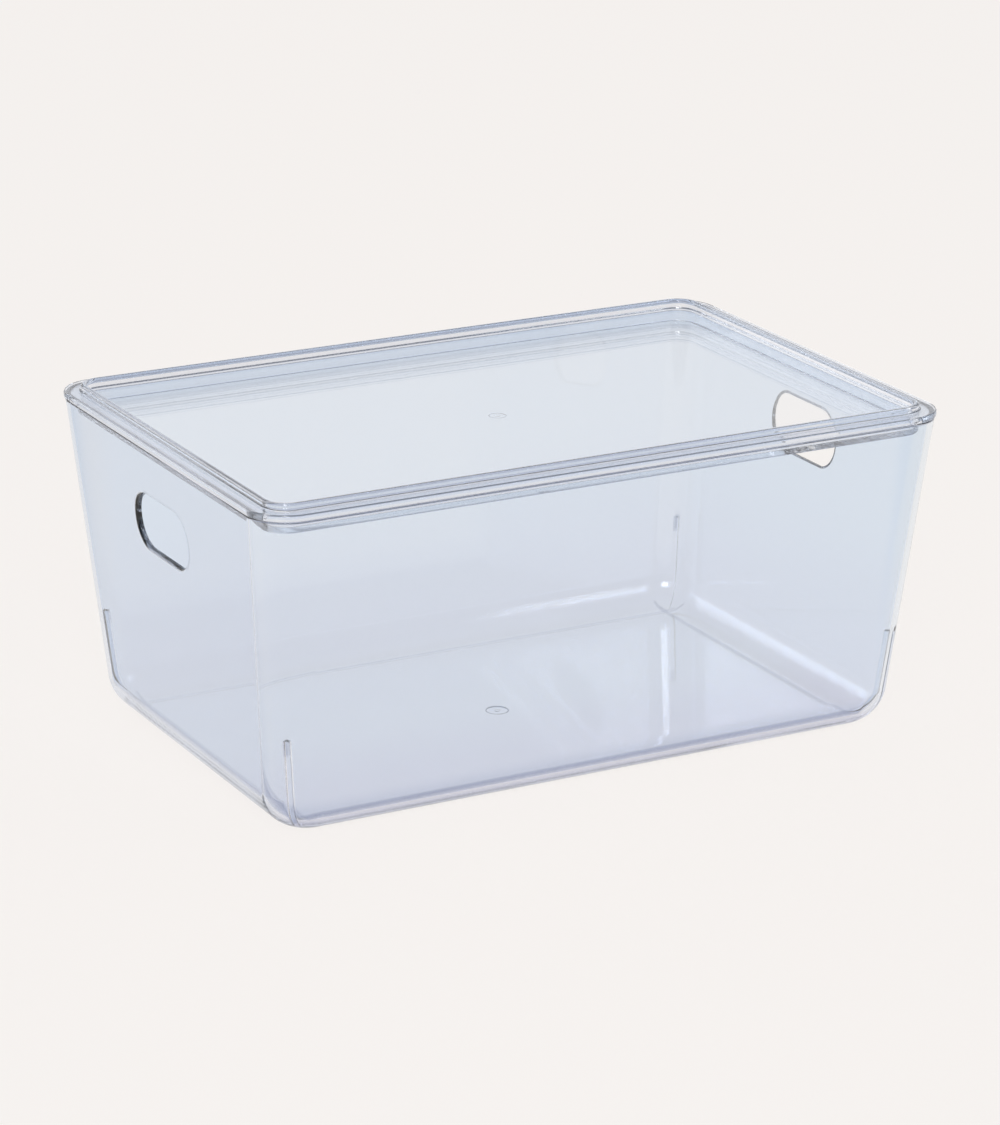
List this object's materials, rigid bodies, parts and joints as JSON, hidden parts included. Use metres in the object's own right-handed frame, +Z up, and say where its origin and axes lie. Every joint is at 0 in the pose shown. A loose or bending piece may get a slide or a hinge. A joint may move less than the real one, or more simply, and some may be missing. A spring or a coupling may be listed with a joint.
{
  "type": "lidded refrigerator storage bin",
  "caption": "Clear tapered storage bin for a refrigerator shelf, with a hand slot in each end wall and a flat lift-off lid whose raised rim lets another bin stand on it.",
  "frame": {"origin": "middle of the footprint, on the surface that the bin stands on", "axes": "+X along the length, through the two end walls with the hand slots; +Y across the width; +Z up, the way the lid lifts off"},
  "size_m": [0.32, 0.2144, 0.1459],
  "materials": {
    "bin_plastic": "clear, polished, with a faint cool tint",
    "lid_plastic": "clear, polished, with a faint cool tint"
  },
  "bodies": {
    "tub": {"bin": "bin_plastic"},
    "lid": {"lid": "lid_plastic"}
  },
  "joints": [
    {"name": "lid_lift", "type": "slide", "parent": "tub", "child": "lid", "axis": [0, 0, 1], "range_m": [0, 0.15]}
  ]
}
